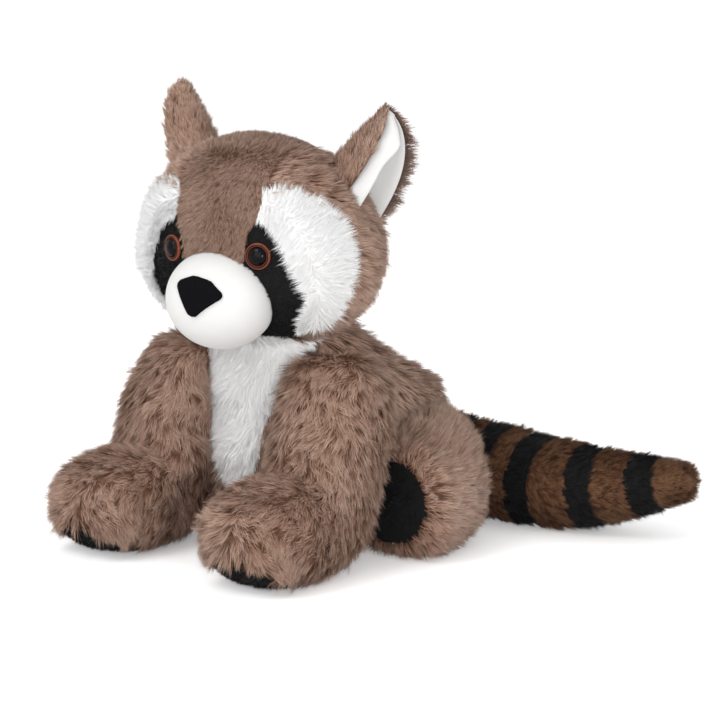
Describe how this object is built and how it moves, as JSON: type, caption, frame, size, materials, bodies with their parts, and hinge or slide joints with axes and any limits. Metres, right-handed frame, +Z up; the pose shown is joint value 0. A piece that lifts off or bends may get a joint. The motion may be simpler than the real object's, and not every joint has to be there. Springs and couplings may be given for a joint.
{
  "type": "plush raccoon",
  "caption": "Sitting stuffed toy raccoon in sewn plush, with a masked face, a smooth muzzle, cupped ears, round paw and foot pads and a ringed tail lying to one side.",
  "frame": {"origin": "middle of the toy's box on the ground it sits on", "axes": "+Z up; the toy faces -Y; its left side is at +X, and its tail lies out that way"},
  "size_m": [0.246, 0.2272, 0.221],
  "materials": {
    "brown_plush": "long pile plush, greyish brown",
    "short_brown_plush": "short pile plush, greyish brown",
    "white_plush": "long pile plush, off-white",
    "black_plush": "short pile plush, black",
    "tail_brown_plush": "short pile plush, dark brown",
    "smooth_white_cloth": "smooth brushed cloth, white",
    "black_felt": "flat matte felt",
    "black_plastic": "polished",
    "brown_plastic": "polished, reddish brown",
    "fibre_filling": "loose polyester fibre, hidden inside"
  },
  "bodies": {
    "root": {"head_gusset": "short_brown_plush", "head_side_left": "brown_plush", "head_side_right": "brown_plush", "cheek_left": "white_plush", "cheek_right": "white_plush", "eye_patch_left": "black_plush", "eye_patch_right": "black_plush", "chin_panel": "white_plush", "muzzle": "smooth_white_cloth", "nose": "black_felt", "head_stuffing": "fibre_filling", "eye_pupil_left": "black_plastic", "eye_pupil_right": "black_plastic", "eye_iris_left": "brown_plastic", "eye_iris_right": "brown_plastic", "eye_washer_left": "black_plastic", "eye_washer_right": "black_plastic", "ear_back_left": "brown_plush", "ear_back_right": "brown_plush", "ear_lining_left": "smooth_white_cloth", "ear_lining_right": "smooth_white_cloth", "body_skin": "brown_plush", "bib": "white_plush", "body_stuffing": "fibre_filling", "arm_skin_left": "brown_plush", "arm_skin_right": "brown_plush", "paw_pad_left": "black_plush", "paw_pad_right": "black_plush", "arm_stuffing_left": "fibre_filling", "arm_stuffing_right": "fibre_filling", "leg_skin_left": "brown_plush", "leg_skin_right": "brown_plush", "foot_pad_left": "black_plush", "foot_pad_right": "black_plush", "leg_stuffing_left": "fibre_filling", "leg_stuffing_right": "fibre_filling", "tail_band_01": "tail_brown_plush", "tail_band_02": "black_plush", "tail_band_03": "tail_brown_plush", "tail_band_04": "black_plush", "tail_band_05": "tail_brown_plush", "tail_band_06": "black_plush", "tail_band_07": "tail_brown_plush", "tail_band_08": "black_plush", "tail_band_09": "tail_brown_plush", "tail_band_10": "black_plush", "tail_band_11": "tail_brown_plush", "tail_stuffing": "fibre_filling"}
  },
  "joints": []
}
